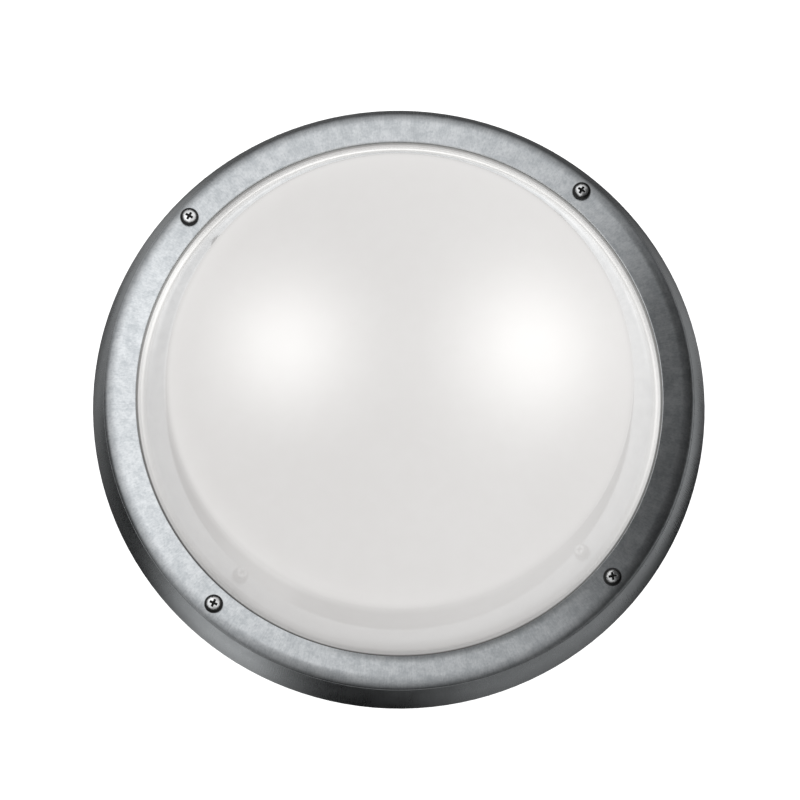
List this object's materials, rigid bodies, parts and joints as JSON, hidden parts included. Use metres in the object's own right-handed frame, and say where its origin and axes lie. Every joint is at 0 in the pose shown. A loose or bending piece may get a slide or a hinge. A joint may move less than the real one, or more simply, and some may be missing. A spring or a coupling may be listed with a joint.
{
  "type": "bulkhead light",
  "caption": "Round wall light with a flared metal base, a screwed bezel ring and a glossy opal bowl diffuser over lamps on a gear tray.",
  "frame": {"origin": "centre of the flat back face that goes against the wall", "axes": "+Z out of the wall through the diffuser, +Y up on the wall, +X to the right as seen from the front"},
  "size_m": [0.33, 0.33, 0.078],
  "materials": {
    "base_metal": "satin",
    "bezel_metal": "satin",
    "screw_steel": "bright",
    "opal": "gloss",
    "gasket_rubber": "matte",
    "grommet_rubber": "matte",
    "tray_white": "gloss",
    "bracket_steel": "zinc plated",
    "porcelain": "gloss",
    "brass": "bright",
    "lamp_glass": "opal",
    "clamp_nylon": "matte",
    "line_sleeve": "matte",
    "neutral_sleeve": "matte",
    "earth_sleeve": "matte"
  },
  "bodies": {
    "root": {"base_housing": "base_metal", "bezel_ring": "bezel_metal", "bezel_screws": "screw_steel", "tray_screws": "screw_steel", "holder_screws": "screw_steel", "clamp_screws": "screw_steel", "block_screws": "screw_steel", "diffuser": "opal", "diffuser_gasket": "gasket_rubber", "cable_grommet": "grommet_rubber", "gear_tray": "tray_white", "bracket_left": "bracket_steel", "bracket_right": "bracket_steel", "bracket_rivets": "bracket_steel", "earth_washer": "bracket_steel", "earth_lug": "bracket_steel", "lampholder_left": "porcelain", "lampholder_right": "porcelain", "terminal_block": "porcelain", "holder_shell_left": "brass", "holder_shell_right": "brass", "centre_contact_left": "brass", "centre_contact_right": "brass", "terminal_tubes": "brass", "terminal_screws": "brass", "earth_screw": "brass", "lamp_left": "lamp_glass", "lamp_right": "lamp_glass", "cable_clamp": "clamp_nylon", "line_wire_left": "line_sleeve", "line_wire_right": "line_sleeve", "neutral_wire_left": "neutral_sleeve", "neutral_wire_right": "neutral_sleeve", "earth_wire": "earth_sleeve"}
  },
  "joints": []
}
